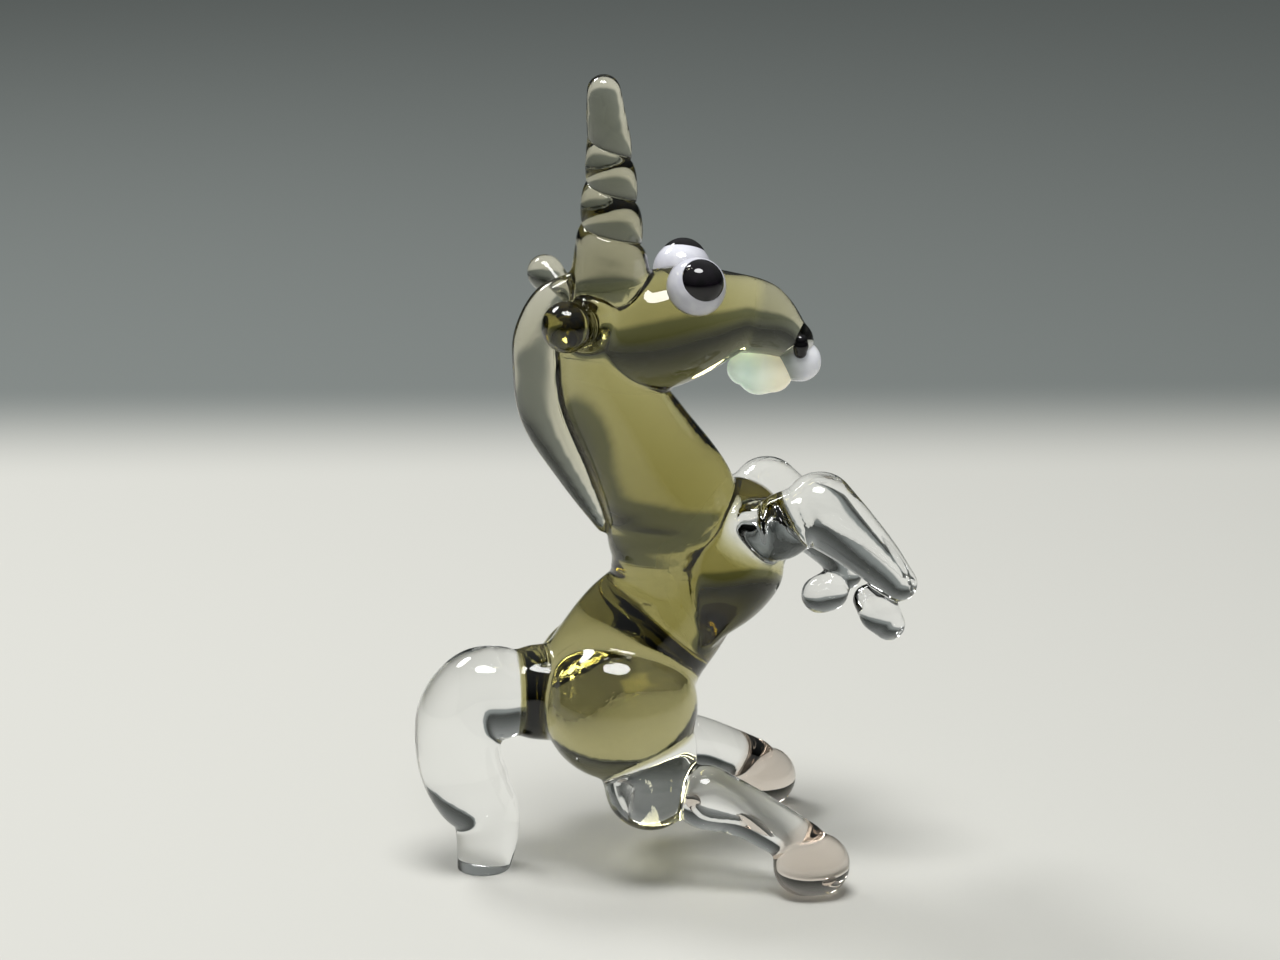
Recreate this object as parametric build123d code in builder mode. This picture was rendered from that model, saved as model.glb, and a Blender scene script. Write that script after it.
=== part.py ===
from build123d import *
import math
import os

os.makedirs("parts", exist_ok=True)

# A rearing unicorn, worked from molten glass rods and gathers in a lamp flame.
# X runs forwards, Y to the animal's left and Z up. The origin is on the ground, under the
# middle of the figure, which stands on its two hind hooves and the tip of its tail.

# Rump and barrel
rump_setback = 3.6
rump_height = 11.2
rump_radius = 5.2
barrel_length = 10.3
barrel_radius = 4.5

# Haunches, and the clear thighs that are fused flat against them
haunch_radius = 4.65
haunch_spread = 1.7
haunch_lead = 0.8
haunch_drop = 0.2
seam_depth = 3.4
seam_forward_angle = 26
seam_outward_angle = 19
thigh_radius = 2.85
thigh_length = 2.15

# Hind shanks and hooves
shank_radius = 1.65
hind_hoof_reach = 11.75
hind_hoof_spread = 7.8
hind_hoof_radius = 2.45
hind_hoof_half_height = 1.95
hind_hoof_rim_radius = 1.5
ground_flat_depth = 0.08

# Tail and its dock
dock_length = 5.45
dock_rise = 0.35
dock_radius = 2.95

# Neck, chest and mane
neck_length = 15
neck_radius = 4.15
neck_setback = 2.08
neck_sink = 0.74
chest_length = 8
chest_radius = 3.15
chest_lead = 0.72
chest_drop = 4.44
mane_radius = 1.4

# Head, muzzle, lips and nostrils
head_length = 15.5
head_radius = 3.55
poll_setback = 2.5
poll_rise = 1.35
muzzle_cut_lean = 17
upper_lip_radius = 1.35
upper_lip_lead = 0.3
lower_lip_radius = 1.35
lower_lip_length = 1.1
lower_lip_setback = 1.05
nostril_radius = 0.5
nostril_height = 0.7

# Horn, with one groove that winds down it
horn_height = 12.4
horn_radius = 2.3
horn_along = 3.35
horn_rise = 2.95
horn_pitch = 2.6
horn_groove_depth = 0.34
horn_groove_top = 8.4
horn_groove_foot = 1.6

# Eyes
eye_radius = 1.82
eye_up_angle = 48.5
pupil_radius = 1.33
pupil_ball_radius = 1.5
pupil_thickness = 1.1
pupil_up_angle = 31
pupil_forward_angle = 10.5

# Ears
right_ear_radius = 1.6
left_ear_radius = 1.16
ear_spread = 4.4
right_ear_rise = 0.95
left_ear_rise = 2.35
ear_root_along = 1.8
ear_root_spread = 1.8
ear_root_rise = 0.3

# Shoulders, forearms and front hooves
shoulder_length = 4
shoulder_radius = 2.05
shoulder_lead = 2.0
shoulder_rise = 7.3
shoulder_spread = 2.2
forearm_length = 7
forearm_radius = 2.33
front_hoof_length = 3
front_hoof_radius = 1.3

# Each row of a trail's table holds shares of its length forwards, outwards and up, and last
# a share of its radius.
barrel_shares = ((0.23, 0, 0.32, 1), (0.46, 0, 0.58, 0.95), (0.6, 0, 0.8, 0.9))
neck_shares = (
    (0, 0, 0, 0.8),
    (0.015, 0, 0.19, 0.97),
    (0.01, 0, 0.325, 1),
    (-0.13, 0, 0.583, 0.86),
    (-0.26, 0, 0.813, 0.74),
    (-0.295, 0, 0.99, 0.65),
)
chest_shares = ((0, 0, 0, 0.3), (0.125, 0, 0.29, 0.75), (0.26, 0, 0.61, 1), (0.31, 0, 0.81, 0.93))
head_shares = (
    (0.17, 0, -0.03, 0.77),
    (0.33, 0, -0.05, 1),
    (0.53, 0, 0, 0.98),
    (0.74, 0, 0.02, 0.68),
    (0.84, 0, -0.02, 0.61),
    (0.953, 0, -0.1, 0.36),
)
tail_shares = (
    (0, 0, 0, 1),
    (-0.2, 0, 0, 0.98),
    (-0.295, 0, -0.1, 0.96),
    (-0.324, 0, -0.245, 0.92),
    (-0.31, 0, -0.4, 0.9),
    (-0.25, 0, -0.55, 0.86),
    (-0.18, 0, -0.683, 0.74),
    (-0.172, 0, -0.823, 0.67),
    (-0.197, 0, -1.01, 0.56),
)
shoulder_shares = {
    "right": ((0, 0, 0, 0.73), (0.3, 0.2, 0.03, 1), (0.63, 0.33, 0.22, 0.94)),
    "left": ((0, 0, 0, 0.75), (0.3, 0.2, 0, 1), (0.5, 0.3, 0.01, 0.97)),
}
forearm_shares = {
    "right": ((0.21, 0.04, 0.06, 1), (0.48, 0.06, -0.18, 0.82), (0.73, 0.06, -0.43, 0.66), (0.94, 0.06, -0.66, 0.48)),
    "left": ((0.04, 0.06, 0.04, 0.98), (0.43, 0.07, -0.27, 0.79), (0.7, 0.07, -0.59, 0.55), (0.8, 0.07, -0.78, 0.44)),
}
front_hoof_shares = {
    "right": ((-0.63, -0.14, -0.35, 0.77), (-0.4, -0.14, -0.64, 1), (-0.18, -0.14, -0.92, 0.81)),
    "left": ((-0.42, -0.13, -0.33, 1), (-0.62, -0.13, -0.4, 0.95)),
}
dock_start_share = 0.35
dock_swell_share = 1.05
# The thigh's ball hangs from the middle of its seam by these shares of its length.
thigh_drop_shares = (0.01, 0.46, -0.88)
# A shank's rows hold shares of the way from thigh to hoof, the lift above that line as a
# share of its length, and a share of the radius.
shank_shares = ((0.349, 0.092, 1.24), (0.6, 0.12, 1), (0.95, 0.095, 0.9))
# An ear's rows hold shares of the way from its root to its bead, and of its radius.
ear_shares = ((0, 1.1), (0.5, 0.85), (1, 1))
# The mane lies round the crown at these angles, then down the back of the neck.
mane_crown_angles = (119, 147, 178)
mane_girth_shares = (0.56, 0.78, 0.95, 1, 0.97, 0.7, 0.3)
mane_lift_share = 0.85
nostril_place_shares = (0.15, 0.85, -0.1)
nostril_taper_share = 0.9
upper_lip_drop_share = 1.05
lower_lip_lift_share = 0.7
# The horn's radius is a first share of horn_radius, less a second and plus a third as it rises.
horn_taper_shares = (1.06, 0.8, 0.16)
horn_foot_shares = (-0.05, 0.08)
horn_tip_share = 0.46
horn_lean_share = -0.03
muzzle_cut_share = 0.787

SIDES = (("right", -1), ("left", 1))


def trail(centres, radii):
    """A trail of glass: balls along a path, each pair joined by the cone that touches both."""
    with BuildPart() as body:
        for centre, radius in zip(centres, radii):
            with Locations(centre):
                Sphere(radius)
        for near, far, near_radius, far_radius in zip(centres, centres[1:], radii, radii[1:]):
            way = far - near
            lean = (near_radius - far_radius) / way.length
            if abs(lean) < 1:
                narrowing = math.sqrt(1 - lean**2)
                foot = near + way.normalized() * (near_radius * lean)
                height = way.length - (near_radius - far_radius) * lean
                with Locations(Plane(foot, z_dir=way)):
                    if near_radius == far_radius:
                        Cylinder(near_radius, height, align=(Align.CENTER, Align.CENTER, Align.MIN))
                    else:
                        Cone(
                            near_radius * narrowing,
                            far_radius * narrowing,
                            height,
                            align=(Align.CENTER, Align.CENTER, Align.MIN),
                        )
    return body.part


def placed(start, length, shares, side=1):
    """Points along a trail: its start, plus shares of its length forwards, outwards and up."""
    return [start + Vector(row[0], side * row[1], row[2]) * length for row in shares]


def girths(radius, shares):
    """The radii of a trail's balls."""
    return [radius * row[-1] for row in shares]


# Places and gathers that several pieces share, each drawn whole before it is pressed
# against its neighbours.
rump = Vector(-rump_setback, 0, rump_height)
barrel_centres = [rump] + placed(rump, barrel_length, barrel_shares)
barrel_gather = trail(barrel_centres, [rump_radius] + girths(barrel_radius, barrel_shares))

neck_foot = barrel_centres[-1] - Vector(neck_setback, 0, neck_sink)
neck_centres = placed(neck_foot, neck_length, neck_shares)
neck_girths = girths(neck_radius, neck_shares)
neck_gather = trail(neck_centres, neck_girths)

chest_foot = barrel_centres[-1] + Vector(chest_lead, 0, -chest_drop)
chest_gather = trail(placed(chest_foot, chest_length, chest_shares), girths(chest_radius, chest_shares))

poll = neck_centres[-1] + Vector(-poll_setback, 0, poll_rise)
head_centres = placed(poll, head_length, head_shares)
head_girths = girths(head_radius, head_shares)
head_gather = trail(head_centres, head_girths)

# Hind legs: a haunch on each side of the rump, cut flat below and against its pair, a clear
# thigh under it, a shank drawn forwards from that, and a hoof.
haunch_gathers = []
leg_gathers = []
hoof_rest_height = hind_hoof_half_height - ground_flat_depth
# A hind hoof's outline is a wide crown arc that runs into a tighter arc round its rim.
rim_reach = hind_hoof_radius - hind_hoof_rim_radius
crown_radius = (rim_reach**2 + hind_hoof_half_height**2 - hind_hoof_rim_radius**2) / (
    2 * (hind_hoof_half_height - hind_hoof_rim_radius)
)
crown_share = crown_radius / (crown_radius - hind_hoof_rim_radius)
rim_top = (
    rim_reach * crown_share,
    hind_hoof_half_height - crown_radius + (crown_radius - hind_hoof_half_height) * crown_share,
)
for side_name, side in SIDES:
    haunch_centre = rump + Vector(haunch_lead, side * haunch_spread, -haunch_drop)
    forward = math.sin(math.radians(seam_forward_angle))
    outward = math.sin(math.radians(seam_outward_angle))
    seam_normal = Vector(forward, side * outward, -math.sqrt(1 - forward**2 - outward**2))
    seam = Plane(haunch_centre + seam_normal * seam_depth, z_dir=seam_normal)
    seam_radius = math.sqrt(haunch_radius**2 - seam_depth**2)
    middle = Plane(origin=(0, 0, 0), z_dir=(0, side, 0))
    with BuildPart() as haunch_ball:
        with Locations(haunch_centre):
            Sphere(haunch_radius)
    with BuildPart() as haunch:
        add(haunch_ball.part)
        split(bisect_by=seam, keep=Keep.BOTTOM)
        split(bisect_by=middle, keep=Keep.TOP)
    haunch.part.label = f"{side_name}_haunch"
    export_step(haunch.part, f"parts/{side_name}_haunch.step")
    haunch_gathers.append(haunch.part)

    thigh_centre = placed(seam.origin, thigh_length, (thigh_drop_shares,), side)[0]
    thigh_gather = trail([seam.origin, thigh_centre], [seam_radius, thigh_radius])
    with BuildPart() as thigh:
        add(thigh_gather)
        split(bisect_by=seam, keep=Keep.TOP)
        split(bisect_by=middle, keep=Keep.TOP)
    thigh.part.label = f"{side_name}_thigh"
    export_step(thigh.part, f"parts/{side_name}_thigh.step")
    leg_gathers += [haunch_ball.part, thigh_gather]

    hoof_centre = Vector(rump.X + hind_hoof_reach, side * hind_hoof_spread, hoof_rest_height)
    with BuildPart() as hind_hoof:
        with BuildSketch(Plane(hoof_centre, x_dir=(1, 0, 0), z_dir=(0, -1, 0))):
            with BuildLine():
                crown = TangentArc((0, hind_hoof_half_height), rim_top, tangent=(1, 0))
                rim = TangentArc(rim_top, (rim_top[0], -rim_top[1]), tangent=crown % 1)
                TangentArc((rim_top[0], -rim_top[1]), (0, -hind_hoof_half_height), tangent=rim % 1)
                Line((0, -hind_hoof_half_height), (0, hind_hoof_half_height))
            make_face()
        revolve(axis=Axis(hoof_centre, (0, 0, 1)))
        split(bisect_by=Plane.XY, keep=Keep.TOP)
    hind_hoof.part.label = f"{side_name}_hind_hoof"
    export_step(hind_hoof.part, f"parts/{side_name}_hind_hoof.step")

    way = hoof_centre - thigh_centre
    shank_centres = [
        thigh_centre + way * row[0] + Vector(0, 0, way.length * row[1]) for row in shank_shares
    ]
    with BuildPart() as shank:
        add(trail(shank_centres, girths(shank_radius, shank_shares)))
        add(thigh_gather, mode=Mode.SUBTRACT)
        add(hind_hoof.part, mode=Mode.SUBTRACT)
    shank.part.label = f"{side_name}_shank"
    export_step(shank.part, f"parts/{side_name}_shank.step")

# Barrel: the trail less the haunches, thighs, chest and neck that are pressed into it.
with BuildPart() as barrel:
    add(barrel_gather)
    for gather in leg_gathers + [neck_gather, chest_gather]:
        add(gather, mode=Mode.SUBTRACT)
barrel.part.label = "barrel"
export_step(barrel.part, "parts/barrel.step")

# Dock and tail: a smoke stub out of the rump, and a clear tail that arches to the ground.
dock_reach = Vector(-dock_length, 0, dock_rise)
dock_end = rump + dock_reach
dock_face = Plane(dock_end, z_dir=dock_reach)
with BuildPart() as tail_dock:
    add(trail([rump + dock_reach * dock_start_share, dock_end], [dock_radius * dock_swell_share, dock_radius]))
    split(bisect_by=dock_face, keep=Keep.BOTTOM)
    add(barrel_gather, mode=Mode.SUBTRACT)
    for gather in haunch_gathers:
        add(gather, mode=Mode.SUBTRACT)
tail_dock.part.label = "tail_dock"
export_step(tail_dock.part, "parts/tail_dock.step")

with BuildPart() as tail:
    add(trail(placed(dock_end, dock_end.Z, tail_shares), girths(dock_radius, tail_shares)))
    split(bisect_by=dock_face, keep=Keep.TOP)
    split(bisect_by=Plane.XY, keep=Keep.TOP)
tail.part.label = "tail"
export_step(tail.part, "parts/tail.step")

# Neck and chest
with BuildPart() as neck:
    add(neck_gather)
    add(chest_gather, mode=Mode.SUBTRACT)
    add(head_gather, mode=Mode.SUBTRACT)
neck.part.label = "neck"
export_step(neck.part, "parts/neck.step")

with BuildPart() as chest:
    add(chest_gather)
chest.part.label = "chest"
export_step(chest.part, "parts/chest.step")

# Mane: a thin trail from the crown down the back of the neck.
mane_centres = []
for angle, share in zip(mane_crown_angles, mane_girth_shares):
    turn = math.radians(angle)
    reach = head_girths[0] + mane_radius * share * mane_lift_share
    mane_centres.append(head_centres[0] + Vector(math.cos(turn), 0, math.sin(turn)) * reach)
for number, share in zip((5, 4, 3, 2), mane_girth_shares[3:]):
    after = min(number + 1, len(neck_centres) - 1)
    rise = (neck_centres[after] - neck_centres[number - 1]).normalized()
    reach = neck_girths[number] + mane_radius * share * mane_lift_share
    mane_centres.append(neck_centres[number] + Vector(-rise.Z, 0, rise.X) * reach)
mane_gather = trail(mane_centres, [mane_radius * share for share in mane_girth_shares])
with BuildPart() as mane:
    add(mane_gather)
    add(neck_gather, mode=Mode.SUBTRACT)
    add(head_gather, mode=Mode.SUBTRACT)
mane.part.label = "mane"
export_step(mane.part, "parts/mane.step")

# Eyes: a white ball in each side of the brow, with a black dot pressed into it.
brow_centre, brow_girth = head_centres[2], head_girths[2]
eye_up = math.radians(eye_up_angle)
gaze_forward = math.sin(math.radians(pupil_forward_angle))
gaze_up = math.sin(math.radians(pupil_up_angle))
pupil_rim = math.sqrt(eye_radius**2 - pupil_radius**2)
pupil_middle = pupil_rim - math.sqrt(pupil_ball_radius**2 - pupil_radius**2)
eye_gathers = []
for side_name, side in SIDES:
    eye_centre = brow_centre + Vector(0, side * math.cos(eye_up), math.sin(eye_up)) * brow_girth
    gaze = Vector(gaze_forward, side * math.sqrt(1 - gaze_forward**2 - gaze_up**2), gaze_up)
    with BuildPart() as pupil:
        with Locations(eye_centre + gaze * pupil_middle):
            Sphere(pupil_ball_radius)
        back = eye_centre + gaze * (pupil_middle + pupil_ball_radius - pupil_thickness)
        split(bisect_by=Plane(back, z_dir=gaze), keep=Keep.TOP)
    pupil.part.label = f"{side_name}_pupil"
    export_step(pupil.part, f"parts/{side_name}_pupil.step")
    with BuildPart() as eye_white:
        with Locations(eye_centre):
            Sphere(eye_radius)
        add(pupil.part, mode=Mode.SUBTRACT)
    eye_white.part.label = f"{side_name}_eye_white"
    export_step(eye_white.part, f"parts/{side_name}_eye_white.step")
    eye_gathers += [pupil.part, eye_white.part]

# Nostrils: an upright black dot on each side of the muzzle's end.
muzzle_end, muzzle_end_girth = head_centres[-1], head_girths[-1]
nostril_gathers = []
for side_name, side in SIDES:
    nostril_top = placed(muzzle_end, muzzle_end_girth, (nostril_place_shares,), side)[0]
    nostril_top += Vector(0, 0, nostril_height / 2)
    with BuildPart() as nostril:
        add(
            trail(
                [nostril_top, nostril_top - Vector(0, 0, nostril_height)],
                [nostril_radius, nostril_radius * nostril_taper_share],
            )
        )
    nostril.part.label = f"{side_name}_nostril"
    export_step(nostril.part, f"parts/{side_name}_nostril.step")
    nostril_gathers.append(nostril.part)

# Head and muzzle: one gather, smoke at the brow and a lighter smoke from the muzzle line on.
cut_lean = math.radians(muzzle_cut_lean)
muzzle_line = Plane(
    poll + Vector(head_length * muzzle_cut_share, 0, 0),
    x_dir=(0, 1, 0),
    z_dir=(math.cos(cut_lean), 0, -math.sin(cut_lean)),
)
with BuildPart() as head:
    add(head_gather)
    split(bisect_by=muzzle_line, keep=Keep.BOTTOM)
    for gather in eye_gathers:
        add(gather, mode=Mode.SUBTRACT)
head.part.label = "head"
export_step(head.part, "parts/head.step")

with BuildPart() as muzzle:
    add(head_gather)
    split(bisect_by=muzzle_line, keep=Keep.TOP)
    for gather in nostril_gathers:
        add(gather, mode=Mode.SUBTRACT)
muzzle.part.label = "muzzle"
export_step(muzzle.part, "parts/muzzle.step")

# Lips: two drops of milky opal glass under the end of the muzzle.
upper_lip_centre = muzzle_end + Vector(upper_lip_lead, 0, -muzzle_end_girth * upper_lip_drop_share)
with BuildPart() as upper_lip_drop:
    with Locations(upper_lip_centre):
        Sphere(upper_lip_radius)
with BuildPart() as upper_lip:
    add(upper_lip_drop.part)
    add(head_gather, mode=Mode.SUBTRACT)
    for gather in nostril_gathers:
        add(gather, mode=Mode.SUBTRACT)
upper_lip.part.label = "upper_lip"
export_step(upper_lip.part, "parts/upper_lip.step")

lower_lip_drop = head_girths[-2] + lower_lip_radius * lower_lip_lift_share
lower_lip_back = head_centres[-2] - Vector(lower_lip_setback, 0, lower_lip_drop)
with BuildPart() as lower_lip:
    add(
        trail(
            [lower_lip_back, lower_lip_back + Vector(lower_lip_length, 0, 0)],
            [lower_lip_radius, lower_lip_radius],
        )
    )
    add(head_gather, mode=Mode.SUBTRACT)
    add(upper_lip_drop.part, mode=Mode.SUBTRACT)
lower_lip.part.label = "lower_lip"
export_step(lower_lip.part, "parts/lower_lip.step")

# Ears: a round bead on a short stem at each side of the poll.
ear_rises = {"right": right_ear_rise, "left": left_ear_rise}
ear_radii = {"right": right_ear_radius, "left": left_ear_radius}
ear_gathers = []
for side_name, side in SIDES:
    ear_root = poll + Vector(ear_root_along, side * ear_root_spread, ear_root_rise)
    ear_way = poll + Vector(0, side * ear_spread, ear_rises[side_name]) - ear_root
    with BuildPart() as ear:
        add(
            trail(
                [ear_root + ear_way * row[0] for row in ear_shares],
                girths(ear_radii[side_name], ear_shares),
            )
        )
        for gather in (head_gather, neck_gather, mane_gather):
            add(gather, mode=Mode.SUBTRACT)
    ear.part.label = f"{side_name}_ear"
    export_step(ear.part, f"parts/{side_name}_ear.step")
    ear_gathers.append(ear.part)

# Horn: a tapered rod that swings to the left and the right of its line by half the groove's
# depth, twice a turn, so that the groove shows half a pitch lower on one side than the other.
horn_foot = poll + Vector(horn_along, 0, horn_rise)
half_turns = math.floor(2 * (horn_groove_top - horn_groove_foot) / horn_pitch)
horn_rises = [horn_height * share for share in horn_foot_shares]
horn_rises += [horn_groove_top - horn_pitch / 2 * number for number in range(half_turns, -1, -1)]
horn_swings = [0 for share in horn_foot_shares]
horn_swings += [horn_groove_depth / 2 * (-1) ** number for number in range(half_turns, -1, -1)]
horn_centres = []
horn_girths = []
for rise, swing in zip(horn_rises, horn_swings):
    first, second, third = horn_taper_shares
    share = rise / horn_height
    horn_girths.append(horn_radius * (first - second * share + third * share**2) - abs(swing))
    horn_centres.append(horn_foot + Vector(swing, 0, rise))
tip_girth = horn_radius * horn_tip_share
horn_centres.append(horn_foot + Vector(horn_height * horn_lean_share, 0, horn_height - tip_girth))
with BuildPart() as horn:
    add(trail(horn_centres, horn_girths + [tip_girth]))
    for gather in [head_gather, neck_gather, mane_gather] + ear_gathers:
        add(gather, mode=Mode.SUBTRACT)
horn.part.label = "horn"
export_step(horn.part, "parts/horn.step")

# Front legs: a clear shoulder on each side of the chest, a bent forearm and a folded hoof.
for side_name, side in SIDES:
    shoulder_root = chest_foot + Vector(shoulder_lead, side * shoulder_spread, shoulder_rise)
    shoulder_rows = shoulder_shares[side_name]
    shoulder_centres = placed(shoulder_root, shoulder_length, shoulder_rows, side)
    forearm_rows = forearm_shares[side_name]
    forearm_centres = placed(shoulder_centres[-1], forearm_length, forearm_rows, side)
    forearm_gather = trail(forearm_centres, girths(forearm_radius, forearm_rows))
    hoof_rows = front_hoof_shares[side_name]
    with BuildPart() as front_hoof:
        add(
            trail(
                placed(forearm_centres[-1], front_hoof_length, hoof_rows, side),
                girths(front_hoof_radius, hoof_rows),
            )
        )
    front_hoof.part.label = f"{side_name}_front_hoof"
    export_step(front_hoof.part, f"parts/{side_name}_front_hoof.step")

    with BuildPart() as shoulder:
        add(trail(shoulder_centres, girths(shoulder_radius, shoulder_rows)))
        for gather in (forearm_gather, chest_gather, neck_gather, barrel_gather):
            add(gather, mode=Mode.SUBTRACT)
    shoulder.part.label = f"{side_name}_shoulder"
    export_step(shoulder.part, f"parts/{side_name}_shoulder.step")

    with BuildPart() as forearm:
        add(forearm_gather)
        for gather in (front_hoof.part, chest_gather, neck_gather):
            add(gather, mode=Mode.SUBTRACT)
    forearm.part.label = f"{side_name}_forearm"
    export_step(forearm.part, f"parts/{side_name}_forearm.step")
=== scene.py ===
import math
import bpy
import bmesh
import numpy as np
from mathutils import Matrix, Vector


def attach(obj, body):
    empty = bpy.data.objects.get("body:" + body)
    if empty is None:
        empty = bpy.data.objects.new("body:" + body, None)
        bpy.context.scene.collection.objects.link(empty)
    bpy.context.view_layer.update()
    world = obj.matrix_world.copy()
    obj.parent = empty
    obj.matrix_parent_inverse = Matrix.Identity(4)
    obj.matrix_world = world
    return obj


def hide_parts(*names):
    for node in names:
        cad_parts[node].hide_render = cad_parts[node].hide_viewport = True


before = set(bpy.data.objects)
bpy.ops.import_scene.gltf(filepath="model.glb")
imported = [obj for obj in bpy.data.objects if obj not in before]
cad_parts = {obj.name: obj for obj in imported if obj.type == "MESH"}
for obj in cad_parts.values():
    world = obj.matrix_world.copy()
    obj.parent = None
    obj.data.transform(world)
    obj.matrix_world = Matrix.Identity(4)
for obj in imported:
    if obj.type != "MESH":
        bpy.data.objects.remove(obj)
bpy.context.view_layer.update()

# Rump and barrel.
# The first gather of smoke-grey soda-lime glass, wound on the rod and marvered to a fat
# slanting drop. Everything else is pressed on to it while both are soft. Gathers are given
# in millimetres, as rows of (x, y, z, radius), and the meshes are in metres.
MM = 0.001
SIDES = (("right", -1), ("left", 1))
RUMP = np.array((-3.6, 0.0, 11.2))
RUMP_BALL, RUMP_BALL_SHIFT = 4.8, (0.4, 0, 0.3)
BARREL_LENGTH, BARREL_RADIUS = 10.3, 4.5
WAIST_HALF_WIDTHS = (3.95, 3.6)
RING_POINTS = 56
gathers = {}


def smooth_track(rows, samples=14):
    """Carries rows of (x, y, z, radius) to a dense track. A row may end with its radius
    sideways, where that differs. The track is a Catmull-Rom curve through the rows: between
    rows b and c it is half of 2b + (c-a)t + (2a-5b+4c-d)t^2 + (3b-a-3c+d)t^3."""
    rows = np.array([tuple(row) + tuple(row[3:]) if len(row) == 4 else row for row in rows], float)
    padded = np.vstack([2 * rows[0] - rows[1], rows, 2 * rows[-1] - rows[-2]])
    parts = (padded[:-3], padded[1:-2], padded[2:-1], padded[3:])
    a, b, c, d = (part[:, None, :] for part in parts)
    t = np.linspace(0, 1, samples, endpoint=False)[None, :, None]
    curve = (2 * b + (c - a) * t + (2 * a - 5 * b + 4 * c - d) * t**2
             + (3 * b - a - 3 * c + d) * t**3) / 2
    return np.vstack([curve.reshape(-1, 5), rows[-1:]])


def round_trail(rows, grow=0.0, caps=10):
    """A trail of glass: rings of radius r square to a smooth track, closed at each end by a
    half ball, whose ring at angle q from the pole has radius r sin q and stands r cos q out."""
    track = smooth_track(rows)
    centre, radius, wide = track[:, :3], track[:, 3] + grow, track[:, 4] + grow
    along = np.gradient(centre, axis=0)
    along /= np.linalg.norm(along, axis=1)[:, None]
    q = np.linspace(0, math.pi / 2, caps + 1)[1:-1]
    before = centre[0] - along[0] * (radius[0] * np.cos(q))[:, None]
    beyond = centre[-1] + along[-1] * (radius[-1] * np.cos(q[::-1]))[:, None]
    centres = np.vstack([before, centre, beyond])
    radii, wides = (np.concatenate([r[0] * np.sin(q), r, r[-1] * np.sin(q[::-1])])
                    for r in (radius, wide))
    alongs = np.vstack([np.repeat(along[:1], len(q), 0), along, np.repeat(along[-1:], len(q), 0)])
    # Every track lies nearly in an upright plane, so one sideways line serves all its rings.
    side = np.cross(alongs, np.cross((0.0, 1.0, 0.0), alongs))
    side /= np.linalg.norm(side, axis=1)[:, None]
    third = np.cross(alongs, side)
    turn = np.linspace(0, 2 * math.pi, RING_POINTS, endpoint=False)[None, :, None]
    grid = (centres[:, None] + wides[:, None, None] * np.cos(turn) * side[:, None]
            + radii[:, None, None] * np.sin(turn) * third[:, None])
    first, last = centre[0] - along[0] * radius[0], centre[-1] + along[-1] * radius[-1]
    return np.vstack([first[None], grid.reshape(-1, 3), last[None]]) * MM, len(centres)


def ring_faces(rings):
    """Quads between neighbouring rings, and a fan of triangles to each pole. Point 0 is the
    first pole, ring n starts at point 1 + n times the ring's points, and the last is the
    other pole."""
    count = RING_POINTS
    ring, turn = np.meshgrid(np.arange(rings - 1), np.arange(count), indexing="ij")
    low, high, after = 1 + ring * count, 1 + (ring + 1) * count, (turn + 1) % count
    quads = np.stack([low + turn, low + after, high + after, high + turn], -1).reshape(-1, 4)
    step = np.arange(count)
    following, end = (step + 1) % count, 1 + rings * count
    first = np.stack([np.zeros(count, int), 1 + following, 1 + step], -1)
    last = np.stack([np.full(count, end), end - count + step, end - count + following], -1)
    return quads.tolist() + first.tolist() + last.tolist()


def mesh_object(name, points, faces):
    """A smooth-shaded object at the origin, its place in its mesh."""
    mesh = bpy.data.meshes.new(name)
    mesh.from_pydata(points.tolist(), [], faces)
    mesh.polygons.foreach_set("use_smooth", np.ones(len(mesh.polygons), bool))
    mesh.update()
    piece = bpy.data.objects.new(name, mesh)
    bpy.context.scene.collection.objects.link(piece)
    return piece


def trail_object(name, rows, grow=0.0):
    """A trail of glass as an object, its radii larger by grow."""
    points, rings = round_trail(rows, grow)
    return mesh_object(name, points, ring_faces(rings))


def rows_from(start, length, radius, shares, side=1):
    """Rows of a trail, from rows of shares: its start plus three shares of its length along
    X, outwards and Z, and a share of its radius."""
    start = np.array(start, float)
    return [tuple(start + np.array((row[0], side * row[1], row[2])) * length) + (radius * row[3],)
            for row in shares]


gathers["barrel"] = [tuple(RUMP + RUMP_BALL_SHIFT) + (RUMP_BALL,)] + rows_from(
    RUMP, BARREL_LENGTH, BARREL_RADIUS,
    ((0.22, 0, 0.32, 1), (0.43, 0, 0.57, 0.9), (0.43, 0, 0.78, 0.86)))
gathers["barrel"][2] += (WAIST_HALF_WIDTHS[0],)
gathers["barrel"][3] += (WAIST_HALF_WIDTHS[1],)

# Neck and chest.
# A thick smoke rod stuck on the barrel's upper end and bent back, and a drop pressed on in
# front of it that hangs as a bib between the forelegs.
NECK_FOOT = RUMP + (4.1, 0, 7.5)
NECK_LENGTH, NECK_RADIUS, NECK_FOOT_HALF_WIDTH = 15, 4.15, 3.85
NECK_TOP_BACK, NECK_TOP_RISE = -0.295, 0.99
CHEST_FOOT = RUMP + (6.9, 0, 3.8)
CHEST_LENGTH, CHEST_RADIUS = 8, 3.15
CHEST_HALF_WIDTHS = (4.0, 4.65, 4.75, 4.2)
gathers["neck"] = rows_from(NECK_FOOT, NECK_LENGTH, NECK_RADIUS, (
    (0.015, 0, 0.19, 0.97), (0.01, 0, 0.325, 1), (-0.13, 0, 0.583, 0.86),
    (-0.26, 0, 0.813, 0.74), (NECK_TOP_BACK, 0, NECK_TOP_RISE, 0.65)))
gathers["neck"][0] += (NECK_FOOT_HALF_WIDTH,)
chest_rows = rows_from(CHEST_FOOT, CHEST_LENGTH, CHEST_RADIUS, (
    (-0.1, 0, 0.08, 0.42), (0.01, 0, 0.325, 0.95), (0.11, 0, 0.575, 1.17), (0.21, 0, 0.825, 0.95)))
gathers["chest"] = [row + (wide,) for row, wide in zip(chest_rows, CHEST_HALF_WIDTHS)]

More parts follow.
